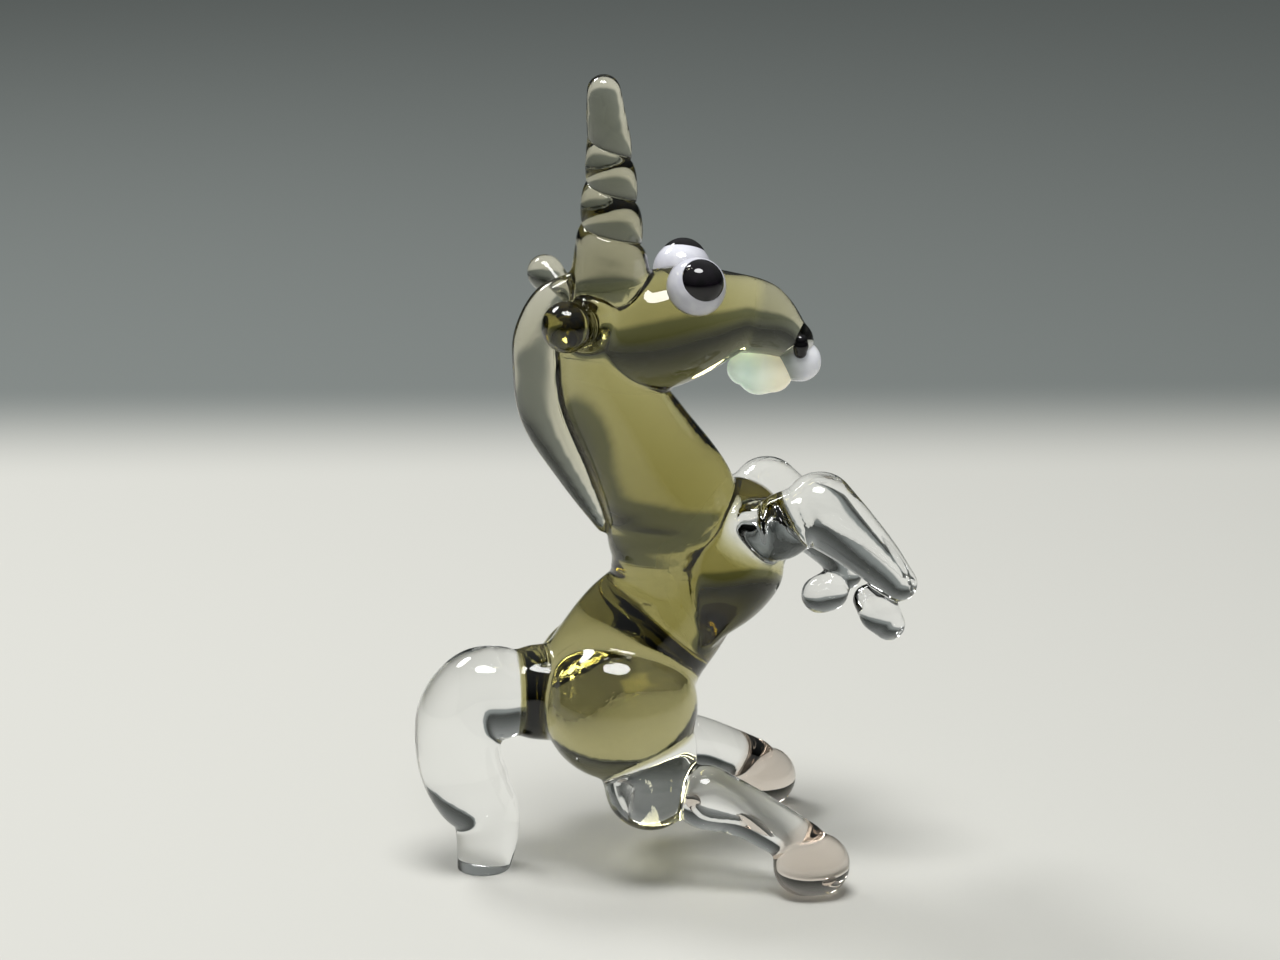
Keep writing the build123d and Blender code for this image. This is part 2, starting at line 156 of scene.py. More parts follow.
# Head and muzzle.
# One smoke gather drawn out forwards to a narrow nose, lighter from the muzzle line on.
POLL_BACK, POLL_RISE = 2.5, 1.35
HEAD_LENGTH, HEAD_RADIUS = 15.5, 3.55
POLL = NECK_FOOT + (NECK_TOP_BACK * NECK_LENGTH - POLL_BACK, 0,
                    NECK_TOP_RISE * NECK_LENGTH + POLL_RISE)
gathers["head"] = rows_from(POLL, HEAD_LENGTH, HEAD_RADIUS, (
    (0.17, 0, -0.03, 0.77), (0.33, 0, -0.05, 1), (0.53, 0, 0, 0.98), (0.74, 0, 0.02, 0.68),
    (0.84, 0, -0.02, 0.61), (0.953, 0, -0.1, 0.36)))

# Mane.
# A thin trail of paler smoke glass laid round the crown and down the back of the neck. It
# has a row at each angle round the crown, in degrees, then one at each row of the neck, from
# the top down, with its share of the radius. Its lift is the share that stands clear.
MANE_RADIUS, MANE_LIFT = 1.4, 0.85
CROWN_ROWS = ((119, 0.56), (147, 0.78), (178, 0.95))
NAPE_ROWS = ((4, 1), (3, 0.97), (2, 0.7), (1, 0.3))
mane_rows = []
crown, neck = np.array(gathers["head"][0]), np.array([row[:4] for row in gathers["neck"]])
for angle, share in CROWN_ROWS:
    reach = crown[3] + MANE_RADIUS * share * MANE_LIFT
    out = np.array((math.cos(math.radians(angle)), 0, math.sin(math.radians(angle))))
    mane_rows.append(tuple(crown[:3] + out * reach) + (MANE_RADIUS * share,))
for number, share in NAPE_ROWS:
    rise = neck[min(number + 1, len(neck) - 1), :3] - neck[number - 1, :3]
    rise /= np.linalg.norm(rise)
    reach = neck[number, 3] + MANE_RADIUS * share * MANE_LIFT
    mane_rows.append(tuple(neck[number, :3] + np.array((-rise[2], 0, rise[0])) * reach)
                     + (MANE_RADIUS * share,))
gathers["mane"] = mane_rows

# Ears.
# A bead of smoke glass on a short thick stem at each side of the poll, unlike in size: each
# has its own radius and its own rise above the poll.
EARS = (("right", -1, 1.6, 0.95), ("left", 1, 1.16, 2.35))
EAR_ROOT_LEAD, EAR_ROOT_SPREAD, EAR_ROOT_RISE, EAR_SPREAD = 1.8, 1.8, 0.3, 4.4
EAR_GIRTHS = ((0, 1.1), (0.5, 0.85), (1, 1))
for name, side, radius, rise in EARS:
    root = POLL + (EAR_ROOT_LEAD, side * EAR_ROOT_SPREAD, EAR_ROOT_RISE)
    way = POLL + (0, side * EAR_SPREAD, rise) - root
    gathers[name + "_ear"] = [tuple(root + way * share) + (radius * girth,)
                              for share, girth in EAR_GIRTHS]

# Horn.
# A tapered smoke rod, twisted while soft so that one groove winds down it every 2.6 mm,
# and flared where its foot was melted on to the forehead.
HORN_FOOT = POLL + (3.35, 0, 2.95)
HORN_HEIGHT, HORN_RADIUS, HORN_TIP = 12.4, 2.3, 1.06
HORN_LEAN, LEAN_FROM, LEAN_OVER = -0.03, 0.6, 0.3


def horn_shift(t):
    """How far the horn's line lies forward at share t of its height: it is upright up to
    LEAN_FROM, and then leans by HORN_LEAN of the height over the next LEAN_OVER."""
    return HORN_HEIGHT * HORN_LEAN * np.clip(t - LEAN_FROM, 0, LEAN_OVER) / LEAN_OVER


# The radius at share t is 1.06 - 0.8t + 0.16t^2 of HORN_RADIUS.
gathers["horn"] = [tuple(HORN_FOOT + (horn_shift(t), 0, HORN_HEIGHT * t))
                   + (HORN_RADIUS * (1.06 - 0.8 * t + 0.16 * t * t),)
                   for t in (-0.05, 0.08, 0.2, 0.35, 0.5, 0.65, 0.8)]
gathers["horn"].append(tuple(HORN_FOOT + (HORN_HEIGHT * HORN_LEAN, 0, HORN_HEIGHT - HORN_TIP))
                       + (HORN_TIP,))

# Haunches, thighs, shanks and hind hooves.
# A smoke ball on each side of the rump, then a clear drop under it, a clear rod drawn
# forwards from that, and a pad pressed flat on the bench, whose tan tint is painted shade:
# it stands in for the shaded sand seen through it.
HAUNCH_RADIUS, HAUNCH_LEAD, HAUNCH_SPREAD, HAUNCH_DROP = 4.65, 0.8, 1.7, 0.2
LOBE_SHIFT, LOBE_HALF_LENGTH = (-0.1, 0.55, 0.05), 0.2
SEAM_DEPTH, SEAM_FORWARD, SEAM_OUTWARD = 3.4, math.radians(26), math.radians(19)
THIGH_ROOT_RADIUS, THIGH_RADIUS, THIGH_LENGTH = 3.17, 2.85, 2.15
THIGH_WAY = (0.01, 0.46, -0.88)
SHANK_RADIUS = 1.65
SHANK_ROWS = ((0.349, 0.092, 1.24), (0.6, 0.12, 1), (0.95, 0.095, 0.9))
HIND_HOOF_RADIUS, HIND_HOOF_HALF_LENGTH, HIND_HOOF_LIFT = 1.97, 0.45, 0.02
HIND_HOOF_REACH, HIND_HOOF_SPREAD, HIND_HOOF_HEIGHT = 11.75, 7.8, 1.87
seams = {}
for name, side in SIDES:
    haunch = RUMP + (HAUNCH_LEAD, side * HAUNCH_SPREAD, -HAUNCH_DROP)
    lobe = haunch + (LOBE_SHIFT[0], side * LOBE_SHIFT[1], LOBE_SHIFT[2])
    gathers[name + "_haunch"] = [tuple(lobe + (-LOBE_HALF_LENGTH, 0, 0)) + (HAUNCH_RADIUS,),
                                 tuple(lobe + (LOBE_HALF_LENGTH, 0, 0)) + (HAUNCH_RADIUS,)]
    # The seam with the thigh is a flat face whose normal leans forwards, outwards and down.
    normal = np.array((math.sin(SEAM_FORWARD), side * math.sin(SEAM_OUTWARD), 0))
    normal[2] = -math.sqrt(1 - normal[0] ** 2 - normal[1] ** 2)
    seam = haunch + normal * SEAM_DEPTH
    seams[name] = (seam, normal)
    thigh = seam + np.array((THIGH_WAY[0], side * THIGH_WAY[1], THIGH_WAY[2])) * THIGH_LENGTH
    gathers[name + "_thigh"] = [tuple(seam) + (THIGH_ROOT_RADIUS,), tuple(thigh) + (THIGH_RADIUS,)]
    hoof = np.array((RUMP[0] + HIND_HOOF_REACH, side * HIND_HOOF_SPREAD, HIND_HOOF_HEIGHT))
    way = hoof - thigh
    gathers[name + "_shank"] = [
        tuple(thigh + way * share + (0, 0, np.linalg.norm(way) * lift)) + (SHANK_RADIUS * girth,)
        for share, lift, girth in SHANK_ROWS]
    gathers[name + "_hind_hoof"] = [
        tuple(hoof + (end * HIND_HOOF_HALF_LENGTH, 0, HIND_HOOF_LIFT)) + (HIND_HOOF_RADIUS,)
        for end in (-1, 1)]

# Tail and dock.
# A short smoke stub on the rump, and a clear rod bent down from it in a goose-neck, whose
# end was flattened on the bench.
DOCK = RUMP + (-5.45, 0, 0.35)
DOCK_ROWS = ((0.35, 3.1), (0.74, 3.0))
TAIL_RADIUS = 2.95
dock_way = (DOCK - RUMP) / np.linalg.norm(DOCK - RUMP)
gathers["tail_dock"] = [tuple(RUMP + (DOCK - RUMP) * share) + (radius,)
                        for share, radius in DOCK_ROWS]
gathers["tail"] = rows_from(DOCK, DOCK[2], TAIL_RADIUS, (
    (-0.11, 0, 0, 1), (-0.2, 0, 0, 0.98), (-0.295, 0, -0.1, 0.96), (-0.324, 0, -0.245, 0.92),
    (-0.31, 0, -0.4, 0.9), (-0.25, 0, -0.55, 0.86), (-0.18, 0, -0.683, 0.74),
    (-0.172, 0, -0.823, 0.67), (-0.197, 0, -1.01, 0.56)))

# Shoulders, forearms and front hooves.
# On each side a clear bead whose root meets its twin's in front of the neck, a clear drop
# drawn down from it, and a small bead folded back under its end. The rows are shares, first
# the shoulder's, then the forearm's, then the hoof's.
FORELEGS = (
    ("right", -1,
     ((0, 0, 0, 0.73), (0.3, 0.2, 0.03, 1), (0.63, 0.33, 0.22, 0.94)),
     ((0.21, 0.04, 0.06, 1), (0.48, 0.06, -0.18, 0.82), (0.73, 0.06, -0.43, 0.66),
      (0.94, 0.06, -0.66, 0.48)),
     ((-0.63, -0.14, -0.35, 0.77), (-0.4, -0.14, -0.64, 1), (-0.18, -0.14, -0.92, 0.81))),
    ("left", 1,
     ((0, 0, 0, 0.75), (0.3, 0.2, 0, 1), (0.5, 0.3, 0.01, 0.97)),
     ((0.04, 0.06, 0.04, 0.98), (0.43, 0.07, -0.27, 0.79), (0.7, 0.07, -0.59, 0.55),
      (0.8, 0.07, -0.78, 0.44)),
     ((-0.42, -0.13, -0.33, 1), (-0.62, -0.13, -0.4, 0.95))))
SHOULDER_ROOT, SHOULDER_ROOT_RADIUS = (9.7, 0.9, 10.2), 2.4
SHOULDER_PLACE, SHOULDER_LENGTH, SHOULDER_RADIUS = (8.9, 2.75, 11.1), 4, 2.05
KNEE_TUCK, FOREARM_LENGTH, FOREARM_RADIUS = 0.55, 7, 2.33
FRONT_HOOF_LENGTH, FRONT_HOOF_RADIUS = 3, 1.3
for name, side, shoulder, forearm, hoof in FORELEGS:
    outward = np.array((1, side, 1))
    root = tuple(RUMP + outward * SHOULDER_ROOT) + (SHOULDER_ROOT_RADIUS,)
    gathers[name + "_shoulder"] = [root] + rows_from(
        RUMP + outward * SHOULDER_PLACE, SHOULDER_LENGTH, SHOULDER_RADIUS, shoulder, side)
    knee = np.array(gathers[name + "_shoulder"][-1][:3]) - (0, side * KNEE_TUCK, 0)
    gathers[name + "_forearm"] = rows_from(knee, FOREARM_LENGTH, FOREARM_RADIUS, forearm, side)
    wrist = gathers[name + "_forearm"][-1][:3]
    gathers[name + "_front_hoof"] = rows_from(
        wrist, FRONT_HOOF_LENGTH, FRONT_HOOF_RADIUS, hoof, side)


# The glasses.
# Soda-lime glass, drawn from rods and flame polished: quite smooth, with faint cords pulled
# along the rod. Metal salts darken the smoke rods with depth, so thin places stay pale and
# thick ones turn olive to black.
GLASS_IOR = 1.5
CORD_WIDTH, CORD_DEPTH, CORD_BUMP, CORD_PULL = 0.4 * MM, 0.02 * MM, 0.22, 0.14


def linear(code):
    """sRGB hex to linear: v/12.92 under 0.04045, else ((v + 0.055)/1.055)^2.4."""
    value = np.array([int(code[i:i + 2], 16) for i in (0, 2, 4)]) / 255
    curve = np.where(value <= 0.04045, value / 12.92, ((value + 0.055) / 1.055) ** 2.4)
    return tuple(curve) + (1.0,)


def add_node(tree, kind, settings, links=()):
    """A node of one kind, with its settings, its sockets' values and its links, all by name."""
    made = tree.nodes.new(kind)
    for key, value in settings.items():
        if key in made.inputs:
            made.inputs[key].default_value = value
        else:
            setattr(made, key, value)
    for key, socket in dict(links).items():
        tree.links.new(socket, made.inputs[key])
    return made


def rod_glass(name, colour, density):
    """Clear or smoke glass: behind a depth d in metres, exp(-density (1 - colour) d) of the
    light is left. Cords CORD_WIDTH wide and seven times as long ripple its surface. Where the
    piece's "joint" is 1, at the faces fused to a neighbour, the IOR falls from 1.5 to 1."""
    material = bpy.data.materials.new(name)
    material.use_nodes = True
    tree = material.node_tree
    tree.nodes.clear()
    place = add_node(tree, "ShaderNodeTexCoord", {})
    pulled = add_node(tree, "ShaderNodeMapping", {"Scale": (1.0, 1.0, CORD_PULL)},
                      {"Vector": place.outputs["Object"]})
    cords = add_node(tree, "ShaderNodeTexNoise", {"Scale": 1 / CORD_WIDTH, "Detail": 1.0},
                     {"Vector": pulled.outputs["Vector"]})
    bump = add_node(tree, "ShaderNodeBump", {"Strength": CORD_BUMP, "Distance": CORD_DEPTH},
                    {"Height": cords.outputs["Fac"]})
    joint = add_node(tree, "ShaderNodeAttribute", {"attribute_name": "joint"})
    bend = add_node(tree, "ShaderNodeMapRange", {"To Min": GLASS_IOR, "To Max": 1.0},
                    {"Value": joint.outputs["Fac"]})
    shader = add_node(tree, "ShaderNodeBsdfPrincipled", {
        "Base Color": linear("ffffff"), "Roughness": 0.0, "IOR": GLASS_IOR,
        "Transmission Weight": 1.0},
        {"IOR": bend.outputs["Result"], "Normal": bump.outputs["Normal"]})
    absorb = add_node(tree, "ShaderNodeVolumeAbsorption",
                      {"Color": linear(colour), "Density": density})
    add_node(tree, "ShaderNodeOutputMaterial", {}, {
        "Surface": shader.outputs["BSDF"], "Volume": absorb.outputs["Volume"]})
    return material


GLASSES = {
    # Olive smoke: the body's glass, which reads as deep bottle olive.
    "smoke_glass": ("ccc66c", 350.0),
    # The same drawn thinner, so the thick haunch balls stay light.
    "pale_smoke_glass": ("ccc67c", 190.0),
    # Greyer smoke of the horn, the mane and the left ear, which look like smoked quartz.
    "grey_smoke_glass": ("bab68d", 420.0),
    # Lighter olive of the muzzle, where the head's gather was drawn out.
    "light_smoke_glass": ("bab67d", 380.0),
    # Clear glass with the faint green that its iron gives it.
    "clear_glass": ("e4ece6", 14.0),
    # A faint tan in the hind hooves: painted shade, standing in for the shaded sand seen through
    # them.
    "hoof_glass": ("d6bea4", 170.0),
    # The front hooves' beads are so small that they look almost clear.
    "pale_hoof_glass": ("dfe2e6", 40.0),
}
glass = {name: rod_glass(name, colour, density) for name, (colour, density) in GLASSES.items()}
joint_mark = bpy.data.materials.new("joint_mark")

# Fusing.
# The gathers are melted together: all are joined, given one skin by a remesh, and relaxed,
# which leaves the small fillet that surface tension draws at each joint. The feet stand a
# hair off the floor, or the glass would read black there.
SKIN = 0.11 * MM
RELAX_SHARE, RELAX_STEPS = 0.5, 48
FLOOR_LIFT = 0.03 * MM


def joined(name, pieces):
    """Joins the pieces' meshes into the first of them."""
    with bpy.context.temp_override(active_object=pieces[0], object=pieces[0],
                                   selected_editable_objects=pieces, selected_objects=pieces):
        bpy.ops.object.join()
    pieces[0].name = name
    return pieces[0]


def settled(piece):
    """Applies a piece's modifiers."""
    shown = piece.evaluated_get(bpy.context.evaluated_depsgraph_get())
    mesh = bpy.data.meshes.new_from_object(shown)
    piece.modifiers.clear()
    worn = piece.data
    piece.data = mesh
    bpy.data.meshes.remove(worn)


def points_of(mesh):
    """A mesh's points, one row each."""
    places = np.empty(len(mesh.vertices) * 3)
    mesh.vertices.foreach_get("co", places)
    return places.reshape(-1, 3)


rest = joined("fused_body", [trail_object(name, rows) for name, rows in gathers.items()])
fuse = rest.modifiers.new("fuse", "REMESH")
fuse.mode, fuse.voxel_size = "VOXEL", SKIN
relax = rest.modifiers.new("relax", "SMOOTH")
relax.factor, relax.iterations = RELAX_SHARE, RELAX_STEPS
settled(rest)
places = points_of(rest.data)
places[:, 2] = np.maximum(places[:, 2], FLOOR_LIFT)
rest.data.vertices.foreach_set("co", places.ravel())
rest.data.polygons.foreach_set("use_smooth", np.ones(len(rest.data.polygons), bool))
rest.data.materials.clear()
rest.data.materials.append(glass["clear_glass"])

# The joints.
# Each piece is parted from the fused body where its gather ends, and one cut early keeps the
# glass that it shares with a later one. The two faces of a joint stand a hair apart and
# neither bend nor mirror light, as in fused glass.
JOINT_GROW = 0.3
JOINT_GAP = 0.005 * MM
TOOL_SKIN, TOOL_EASE = 0.18 * MM, 14
BLOCK_REACH = 60.0


def half_space(point, normal):
    """A block whose one face lies at the point, square to the normal, and which fills the
    side that the normal points to."""
    normal = Vector(normal).normalized()
    turn = normal.to_track_quat("Z", "Y")
    corners = [Vector(point) + turn @ (Vector((x, y, z)) * BLOCK_REACH)
               for z in (0, 2) for x, y in ((-1, -1), (1, -1), (1, 1), (-1, 1))]
    faces = [(3, 2, 1, 0), (4, 5, 6, 7), (0, 1, 5, 4), (1, 2, 6, 5), (2, 3, 7, 6), (3, 0, 4, 7)]
    return mesh_object("block", np.array([tuple(corner) for corner in corners]) * MM, faces)


def cut(piece, tool, operation):
    """Keeps the tool's shape of a piece, or takes it away. The new faces have the tool's
    material, joint_mark, by which they are found again."""
    knife = piece.modifiers.new("cut", "BOOLEAN")
    knife.operation, knife.object, knife.solver = operation, tool, "MANIFOLD"
    knife.material_mode = "TRANSFER"
    settled(piece)


def parted(name, piece, tool):
    """Cuts the tool's shape out of a piece, and gives it back as a piece of its own."""
    taken = piece.copy()
    taken.data = piece.data.copy()
    taken.name = name
    bpy.context.scene.collection.objects.link(taken)
    cut(taken, tool, "INTERSECT")
    cut(piece, tool, "DIFFERENCE")
    bpy.data.objects.remove(tool)
    return taken


def tool_for(name, *planes):
    """A gather's own shape, a little larger, kept on one side of each plane."""
    tool = trail_object("tool", gathers[name], JOINT_GROW)
    skin = tool.modifiers.new("skin", "REMESH")
    skin.mode, skin.voxel_size = "VOXEL", TOOL_SKIN
    even = tool.modifiers.new("even", "SMOOTH")
    even.factor, even.iterations = RELAX_SHARE, TOOL_EASE
    settled(tool)
    tool.data.materials.clear()
    tool.data.materials.append(joint_mark)
    for point, normal in planes:
        block = half_space(point, normal)
        block.data.materials.append(joint_mark)
        cut(tool, block, "INTERSECT")
        bpy.data.objects.remove(block)
    return tool


# The muzzle starts at a slanting line across the head.
MUZZLE_SHARE, MUZZLE_LEAN = 0.787, math.radians(17)
muzzle_point = POLL + (HEAD_LENGTH * MUZZLE_SHARE, 0, 0)
muzzle_way = (math.cos(MUZZLE_LEAN), 0, -math.sin(MUZZLE_LEAN))
cuts = [("muzzle", tool_for("head", (muzzle_point, muzzle_way))), ("head", tool_for("head"))]
for name, side in SIDES:
    cuts += [(name + part, tool_for(name + part))
             for part in ("_front_hoof", "_forearm", "_shoulder")]
cuts += [("chest", tool_for("chest"))]
for name, side in SIDES:
    middle = ((0, 0, 0), (0, side, 0))
    cuts += [(name + "_thigh", tool_for(name + "_thigh", seams[name], middle)),
             (name + "_haunch", tool_for(name + "_haunch", middle)),
             (name + "_hind_hoof", tool_for(name + "_hind_hoof")),
             (name + "_shank", tool_for(name + "_shank"))]
cuts += [(name, tool_for(name)) for name in ("neck", "mane", "right_ear", "left_ear", "horn")]
cuts += [("barrel", tool_for("barrel")), ("tail_dock", tool_for("tail_dock", (DOCK, -dock_way)))]
cells = {name: parted(name + "_glass", rest, tool) for name, tool in cuts}
cells["tail"] = rest
rest.name = "tail_glass"

# The horn's groove.
# It was pressed in with a blade as the horn was twisted. It starts at the horn's back, winds
# down over the right side and deepens towards the foot, and the glass bulges between its
# turns like cups set in each other.
GROOVE_TOP, GROOVE_PITCH, GROOVE_TURNS = POLL[2] + 11.4, 2.6, 2.75
GROOVE_DEPTHS = (0.34, 0.55)
BULGE_SPLIT, BULGE_DIP = 0.4, 0.8
START_EARLY, START_RUN, END_RUN = 0.08, 0.15, 0.2
HORN_CORE, HORN_CORE_FADE = 0.3, 0.9


def grooved(piece):
    """Draws each point in towards the horn's line. A point at height z and angle a lies
    (top - z)/pitch + 1/2 - a/360 turns below the groove's start: the whole number is the turn
    of the groove above it, and the share is its way from there to the next. Between two turns
    the skin bulges as two quarter ellipses: the depth at share u is 1 - sqrt(1 - (1 - u/0.4)^2)
    of the groove's above, and 1 - sqrt(1 - 0.8((u - 0.4)/0.6)^2) of the next one's."""
    finer = piece.modifiers.new("finer", "SUBSURF")
    finer.levels = finer.render_levels = 1
    settled(piece)
    places = points_of(piece.data) / MM
    line = HORN_FOOT[0] + horn_shift((places[:, 2] - HORN_FOOT[2]) / HORN_HEIGHT)
    out = np.stack([places[:, 0] - line, places[:, 1]], -1)
    turn = np.mod(np.arctan2(out[:, 1], out[:, 0]) / (2 * math.pi), 1)
    below = (GROOVE_TOP - places[:, 2]) / GROOVE_PITCH + 0.5 - turn
    number, share = np.floor(below), np.mod(below, 1)
    wound = number + turn - 0.5
    before = np.clip(1 - share / BULGE_SPLIT, 0, 1)
    beyond = np.clip((share - BULGE_SPLIT) / (1 - BULGE_SPLIT), 0, 1)
    upper, lower = 1 - np.sqrt(1 - before**2), 1 - np.sqrt(1 - BULGE_DIP * beyond**2)

    def strength(turns):
        """Rises from 0 to 1 where the groove starts, and falls to 0 where it ends."""
        return (np.clip((turns + START_EARLY) / START_RUN, 0, 1)
                * np.clip((GROOVE_TURNS - turns) / END_RUN, 0, 1))

    shallow, deep = GROOVE_DEPTHS
    depth = shallow + (deep - shallow) * np.clip(wound, 0, GROOVE_TURNS) / GROOVE_TURNS
    drop = depth * (upper * strength(wound) + lower * strength(wound + 1))
    reach = np.linalg.norm(out, axis=1)
    # Points near the horn's line, as at its tip, are drawn in less.
    pull = drop / np.maximum(reach, HORN_CORE) * np.clip(reach / HORN_CORE_FADE, 0, 1)
    places[:, :2] -= out * pull[:, None]
    piece.data.vertices.foreach_set("co", (places * MM).ravel())


# The glass of each piece.
# Smoke in the body, clear in the legs and the tail. A cut can leave crumbs of glass in a
# groove between two gathers, which are swept away first.
GLASS_OF = {"muzzle": "light_smoke_glass", "horn": "grey_smoke_glass", "mane": "grey_smoke_glass",
            "left_ear": "grey_smoke_glass", "right_haunch": "pale_smoke_glass",
            "left_haunch": "pale_smoke_glass"}


def glass_name(name):
    """The glass that a piece is made of."""
    if name in GLASS_OF:
        return GLASS_OF[name]
    if name.endswith("hoof"):
        return "hoof_glass" if "hind" in name else "pale_hoof_glass"
    clear = name.endswith(("thigh", "shank", "tail", "forearm", "shoulder"))
    return "clear_glass" if clear else "smoke_glass"


def eased(piece, skin):
    """Draws the joint faces in by the gap, along the mean normal of the joint faces round each
    point, and marks the line where they meet the outer skin as sharp."""
    mesh = piece.data
    faces = len(mesh.polygons)
    is_joint = np.empty(faces, int)
    mesh.polygons.foreach_get("material_index", is_joint)
    marks = [number for number, material in enumerate(mesh.materials) if material is joint_mark]
    is_joint = np.isin(is_joint, marks)
    normals, totals = np.empty(faces * 3), np.empty(faces, int)
    mesh.polygons.foreach_get("normal", normals)
    mesh.polygons.foreach_get("loop_total", totals)
    corners, edges = np.empty(len(mesh.loops), int), np.empty(len(mesh.loops), int)
    mesh.loops.foreach_get("vertex_index", corners)
    mesh.loops.foreach_get("edge_index", edges)
    owner = np.repeat(np.arange(faces), totals)
    push = np.zeros((len(mesh.vertices), 3))
    chosen = is_joint[owner]
    np.add.at(push, corners[chosen], normals.reshape(-1, 3)[owner[chosen]])
    length = np.linalg.norm(push, axis=1)[:, None]
    places = points_of(mesh) - JOINT_GAP * push / np.maximum(length, 1e-9)
    mesh.vertices.foreach_set("co", places.ravel())
    joint_sides = np.zeros(len(mesh.edges), int)
    np.add.at(joint_sides, edges[chosen], 1)
    sharp = (mesh.attributes.get("sharp_edge")
             or mesh.attributes.new("sharp_edge", "BOOLEAN", "EDGE"))
    sharp.data.foreach_set("value", joint_sides == 1)
    mesh.polygons.foreach_set("use_smooth", ~is_joint)
    mesh.materials.clear()
    mesh.materials.append(skin)
    mesh.attributes.new("joint", "FLOAT", "FACE").data.foreach_set("value", is_joint.astype(float))
    mesh.update()


def uncrumbed(piece):
    """Keeps the largest shell only. Each point takes the least number of its neighbours until
    nothing changes, so all points of a shell end with one number."""
    mesh = piece.data
    ends = np.empty(2 * len(mesh.edges), np.int32)
    mesh.edges.foreach_get("vertices", ends)
    ends = ends.reshape(-1, 2)
    shell = np.arange(len(mesh.vertices))
    while True:
        least = shell.copy()
        for end in ends.T:
            np.minimum.at(least, end, shell[ends].min(1))
        least = least[least]
        if (least == shell).all():
            break
        shell = least
    crumbs = np.flatnonzero(shell != np.bincount(shell).argmax())
    if len(crumbs):
        shape = bmesh.new()
        shape.from_mesh(mesh)
        shape.verts.ensure_lookup_table()
        loose = [shape.verts[number] for number in crumbs.tolist()]
        bmesh.ops.delete(shape, geom=loose, context="VERTS")
        shape.to_mesh(mesh)
        shape.free()


for name, piece in cells.items():
    kind = glass_name(name)
    uncrumbed(piece)
    eased(piece, glass[kind])
    if name == "horn":
        grooved(piece)
    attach(piece, "root")
    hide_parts(name)

# Eyes and pupils.
# A ball of opaque white glass pressed into each side of the brow, and a black dot melted
# into it that stands a little proud, both flame polished to a wet gloss.
EYE_RADIUS, PUPIL_RADIUS, PUPIL_BALL, PUPIL_DEPTH = 1.82, 1.33, 1.5, 1.1
EYE_SOCKET, EYE_ROWS, PUPIL_ROWS = 0.02, 40, 24
EYE_ROUND_BROW, GAZE_FORWARD = math.radians(48.5), math.radians(10.5)
GAZE_UP = {"right": math.radians(31), "left": math.radians(60)}
CLOUD_ENDS, RUN_ENDS = (0.35, 0.65), (0.3, 0.7)


def turned(name, profile, centre, axis):
    """A shape turned about an axis: each row of its profile is a radius and a height along
    the axis, from the back pole to the front pole."""
    axis = np.array(axis, float) / np.linalg.norm(axis)
    side = np.cross(axis, (0.0, 0.0, 1.0))
    side /= np.linalg.norm(side)
    third = np.cross(axis, side)
    radius, height = np.array(profile, float).T
    turn = np.linspace(0, 2 * math.pi, RING_POINTS, endpoint=False)[None, :, None]
    grid = (centre + height[1:-1, None, None] * axis
            + radius[1:-1, None, None] * (np.cos(turn) * side + np.sin(turn) * third))
    points = np.vstack([centre + axis * height[0], grid.reshape(-1, 3), centre + axis * height[-1]])
    return mesh_object(name, points * MM, ring_faces(len(radius) - 2))


def arc(radius, middle, start, end, steps):
    """Rows of an arc about a middle on the axis: radius r sin q and height m - r cos q."""
    q = np.linspace(start, end, steps)
    return list(zip(radius * np.sin(q), middle - radius * np.cos(q)))


def gloss_glass(name, colours, roughness, cloud=None, run=None, subsurface=0.0, painted_glow=0.0):
    """Opaque glass with a wet gloss, whose two colours drift into each other in soft clouds
    of one width, or along X over a run from one place to another. The painted_glow is painted
    light: an emission in the piece's own colours that stands in for light from the far side,
    which milky glass spreads through a drop."""
    material = bpy.data.materials.new(name)
    material.use_nodes = True
    tree = material.node_tree
    tree.nodes.clear()
    place = add_node(tree, "ShaderNodeTexCoord", {})
    if run:
        place = add_node(tree, "ShaderNodeSeparateXYZ", {}, {"Vector": place.outputs["Object"]})
        drift = add_node(tree, "ShaderNodeMapRange", {
            "From Min": run[0] * MM, "From Max": run[1] * MM,
            "To Min": RUN_ENDS[0], "To Max": RUN_ENDS[1]}, {"Value": place.outputs["X"]})
    else:
        drift = add_node(tree, "ShaderNodeTexNoise", {"Scale": 1 / (cloud * MM), "Detail": 2.0},
                         {"Vector": place.outputs["Object"]})
    ramp = add_node(tree, "ShaderNodeValToRGB", {}, {"Fac": drift.outputs[0]})
    for stop, end, code in zip(ramp.color_ramp.elements, CLOUD_ENDS, colours):
        stop.position, stop.color = end, linear(code)
    shader = add_node(tree, "ShaderNodeBsdfPrincipled", {
        "Roughness": roughness, "IOR": GLASS_IOR, "Subsurface Weight": subsurface,
        "Subsurface Radius": (1.0, 1.0, 1.1), "Subsurface Scale": 1.2 * MM,
        "Emission Strength": painted_glow},
        {"Base Color": ramp.outputs["Color"], "Emission Color": ramp.outputs["Color"]})
    add_node(tree, "ShaderNodeOutputMaterial", {}, {"Surface": shader.outputs["BSDF"]})
    return material


# Cool white as in china, and a black with a trace of violet where it catches the light.
eye_glass = gloss_glass("white_eye_glass", ("cfcfda", "dcdce4"), 0.03, cloud=0.8)
black_glass = gloss_glass("black_glass", ("050406", "120c14"), 0.02, cloud=0.6)
brow = np.array(gathers["head"][2])
rim = math.sqrt(EYE_RADIUS**2 - PUPIL_RADIUS**2)
pupil_middle = rim - math.sqrt(PUPIL_BALL**2 - PUPIL_RADIUS**2)
back = pupil_middle + PUPIL_BALL - PUPIL_DEPTH
back_angle = math.pi - math.acos((back - pupil_middle) / PUPIL_BALL)
back_radius = PUPIL_BALL * math.sin(back_angle)
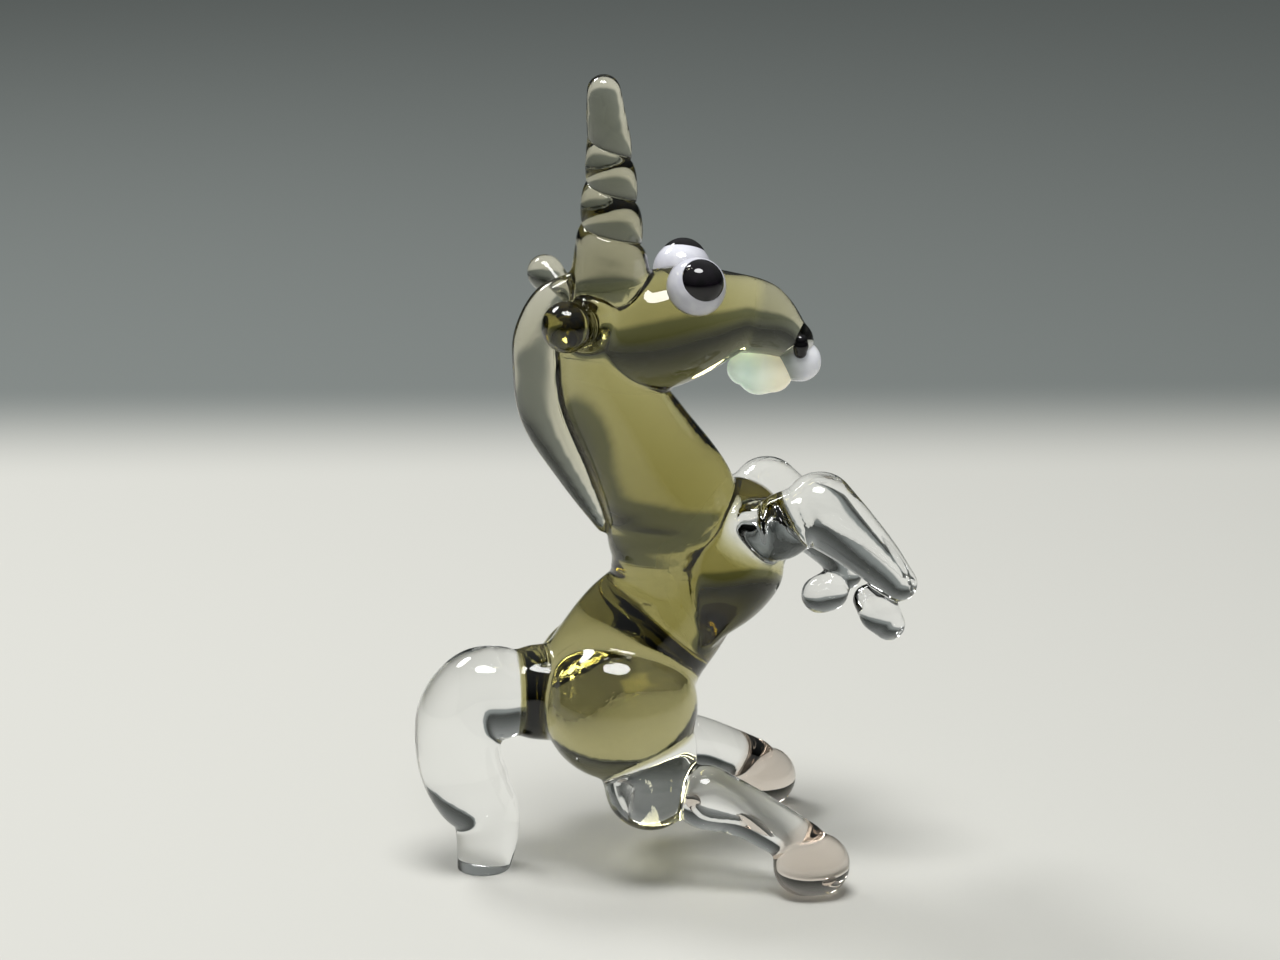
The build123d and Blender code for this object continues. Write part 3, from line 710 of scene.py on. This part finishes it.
# The socket is the pupil's back, a hair larger.
socket = back_radius + EYE_SOCKET
rim_angle = math.pi - math.asin(PUPIL_RADIUS / EYE_RADIUS)
white_rows = arc(EYE_RADIUS, 0.0, 0, rim_angle, EYE_ROWS)
white_rows += [(PUPIL_RADIUS + 2 * EYE_SOCKET, rim - EYE_SOCKET), (socket, back - EYE_SOCKET),
               (socket / 2, back - EYE_SOCKET), (0, back - EYE_SOCKET)]
pupil_rows = [(0, back), (back_radius / 2, back)]
pupil_rows += arc(PUPIL_BALL, pupil_middle, back_angle, math.pi, PUPIL_ROWS)
for name, side in SIDES:
    out = np.array((0, side * math.cos(EYE_ROUND_BROW), math.sin(EYE_ROUND_BROW)))
    centre = brow[:3] + out * brow[3]
    forward, up = math.sin(GAZE_FORWARD), math.sin(GAZE_UP[name])
    gaze = (forward, side * math.sqrt(1 - forward**2 - up**2), up)
    white = turned(name + "_white", white_rows, centre, gaze)
    pupil = turned(name + "_dot", pupil_rows, centre, gaze)
    for piece, node, finish, slot in ((white, "eye_white", eye_glass, "eye_glass"),
                                      (pupil, "pupil", black_glass, "black_glass")):
        piece.data.materials.append(finish)
        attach(piece, "root")
        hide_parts(name + "_" + node)

# Nostrils.
# An upright black dot touched on to each side of the muzzle's end.
NOSTRIL_PLACE, NOSTRIL_LIFT = (0.15, 0.85, -0.1), 0.35
NOSTRIL_STEP, NOSTRIL_RADII = 0.35, (0.44, 0.5, 0.4)
nose = np.array(gathers["head"][-1])
for name, side in SIDES:
    top = nose[:3] + np.array((1, side, 1)) * NOSTRIL_PLACE * nose[3] + (0, 0, NOSTRIL_LIFT)
    dot = trail_object(name + "_nose_dot", [
        tuple(top - (0, 0, NOSTRIL_STEP * number)) + (radius,)
        for number, radius in enumerate(NOSTRIL_RADII)])
    dot.data.materials.append(black_glass)
    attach(dot, "root")
    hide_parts(name + "_nostril")

# Lips.
# Two drops of milky opal glass hung under the muzzle: mint at the chin, creamy where it was
# hottest, and the upper one grey at the back and white at the front. Both glow with painted
# light, an emission that stands in for the light that milky glass carries through from the
# far side. Each has rows of (x, y, z, radius) from the nose or the poll.
# The glow set on each lip is painted light, an emission in the lip's own colours.
chin_opal = gloss_glass("mint_opal_glass", ("e0f2e4", "efe9cf"), 0.05, run=(5.0, 7.6),
                        subsurface=0.9, painted_glow=0.3)
nose_opal = gloss_glass("grey_opal_glass", ("9aa09c", "e9eaf0"), 0.05, run=(7.6, 9.3),
                        subsurface=0.6, painted_glow=0.1)
LIPS = (
    ("upper_lip", nose[:3], nose_opal, ((0.15, 0, -1.25, 1.3), (0.45, 0, -1.3, 1.28))),
    ("lower_lip", POLL, chin_opal,
     ((11.62, 0, -3.2, 1.0), (12.47, 0, -3.42, 1.4), (13.47, 0, -3.5, 1.25))))
for name, start, opal, rows in LIPS:
    lip = trail_object(name + "_drop", [tuple(start + row[:3]) + row[3:] for row in rows])
    lip.data.materials.append(opal)
    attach(lip, "root")
    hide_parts(name)

# Stage.
# A pale table that darkens beyond the figure, a dim grey sky, and two soft oval lamps: one
# above on the camera's side, and one high up past the tail on the far side. The camera stands
# at the figure's right and looks down on it a little.
FLOOR_REACH, FADE_WAY, FADE_FROM, FADE_TO = 3.0, (0.15, 1.0, 0.0), 0.088, 0.122
HALF_FRAME, FOCAL_LENGTH = 640, 3564
BOUNCES, CLEAR_BOUNCES = 40, 32
scene = bpy.context.scene
corners = np.array([(-1, -1, 0), (1, -1, 0), (1, 1, 0), (-1, 1, 0)]) * FLOOR_REACH
floor = mesh_object("studio_floor", corners, [(0, 1, 2, 3)])
material = bpy.data.materials.new("pale_floor")
material.use_nodes = True
tree = material.node_tree
tree.nodes.clear()
place = add_node(tree, "ShaderNodeTexCoord", {})
slant = add_node(tree, "ShaderNodeVectorMath", {"operation": "DOT_PRODUCT"},
                 {"Vector": place.outputs["Object"]})
slant.inputs[1].default_value = FADE_WAY
fade = add_node(tree, "ShaderNodeMapRange", {
    "interpolation_type": "SMOOTHSTEP", "From Min": FADE_FROM, "From Max": FADE_TO},
    {"Value": slant.outputs["Value"]})
# Socket 0 is the mix node's share, and 6 and 7 are its two colours.
mix = add_node(tree, "ShaderNodeMix", {"data_type": "RGBA"})
mix.inputs[6].default_value = linear("c3c2bc")
mix.inputs[7].default_value = linear("6f7472")
tree.links.new(fade.outputs["Result"], mix.inputs[0])
shader = add_node(tree, "ShaderNodeBsdfPrincipled", {"Roughness": 0.8})
tree.links.new(mix.outputs[2], shader.inputs["Base Color"])
add_node(tree, "ShaderNodeOutputMaterial", {}, {"Surface": shader.outputs["BSDF"]})
floor.data.materials.append(material)

world = bpy.data.worlds.new("studio_air")
scene.world = world
world.use_nodes = True
tree = world.node_tree
tree.nodes.clear()
place = add_node(tree, "ShaderNodeTexCoord", {})
height = add_node(tree, "ShaderNodeSeparateXYZ", {}, {"Vector": place.outputs["Generated"]})
sky = add_node(tree, "ShaderNodeValToRGB", {}, {"Fac": height.outputs["Z"]})
sky.color_ramp.elements[0].position, sky.color_ramp.elements[0].color = 0.05, linear("303432")
sky.color_ramp.elements[1].position, sky.color_ramp.elements[1].color = 0.85, linear("a2a6a4")
air = add_node(tree, "ShaderNodeBackground", {"Strength": 0.9}, {"Color": sky.outputs["Color"]})
add_node(tree, "ShaderNodeOutputWorld", {}, {"Surface": air.outputs["Background"]})


def area_lamp(name, width, depth, power, place, aim):
    """A soft lamp of an oval shape, its measures in metres and its power in watts."""
    lamp = bpy.data.lights.new(name, "AREA")
    lamp.shape, lamp.size, lamp.size_y, lamp.energy = "ELLIPSE", width, depth, power
    holder = bpy.data.objects.new(name, lamp)
    holder.location = place
    holder.rotation_euler = (Vector(aim) - Vector(place)).to_track_quat("-Z", "Y").to_euler()
    scene.collection.objects.link(holder)


area_lamp("softbox", 0.2, 0.13, 1.15, (-0.03, -0.07, 0.36), (0, 0, 0.02))
area_lamp("window", 0.14, 0.09, 0.55, (-0.15, 0.19, 0.27), (0, 0, 0.025))

camera_data = bpy.data.cameras.new("camera")
camera = bpy.data.objects.new("camera", camera_data)
# Half the frame's width over the focal length, both in pixels, is the tangent of half the angle.
camera_data.angle = 2 * math.atan(HALF_FRAME / FOCAL_LENGTH)
camera_data.clip_start = 0.01
camera.location = (-0.03797, -0.20826, 0.08554)
aim = Vector((-0.00125, 0, 0.0249)) - camera.location
camera.rotation_euler = aim.to_track_quat("-Z", "Y").to_euler()
scene.collection.objects.link(camera)
scene.camera = camera
scene.view_settings.view_transform = "Standard"
# Light passes many faces of glass before it is out again.
scene.cycles.max_bounces = BOUNCES
scene.cycles.transmission_bounces = BOUNCES
scene.cycles.transparent_max_bounces = CLEAR_BOUNCES
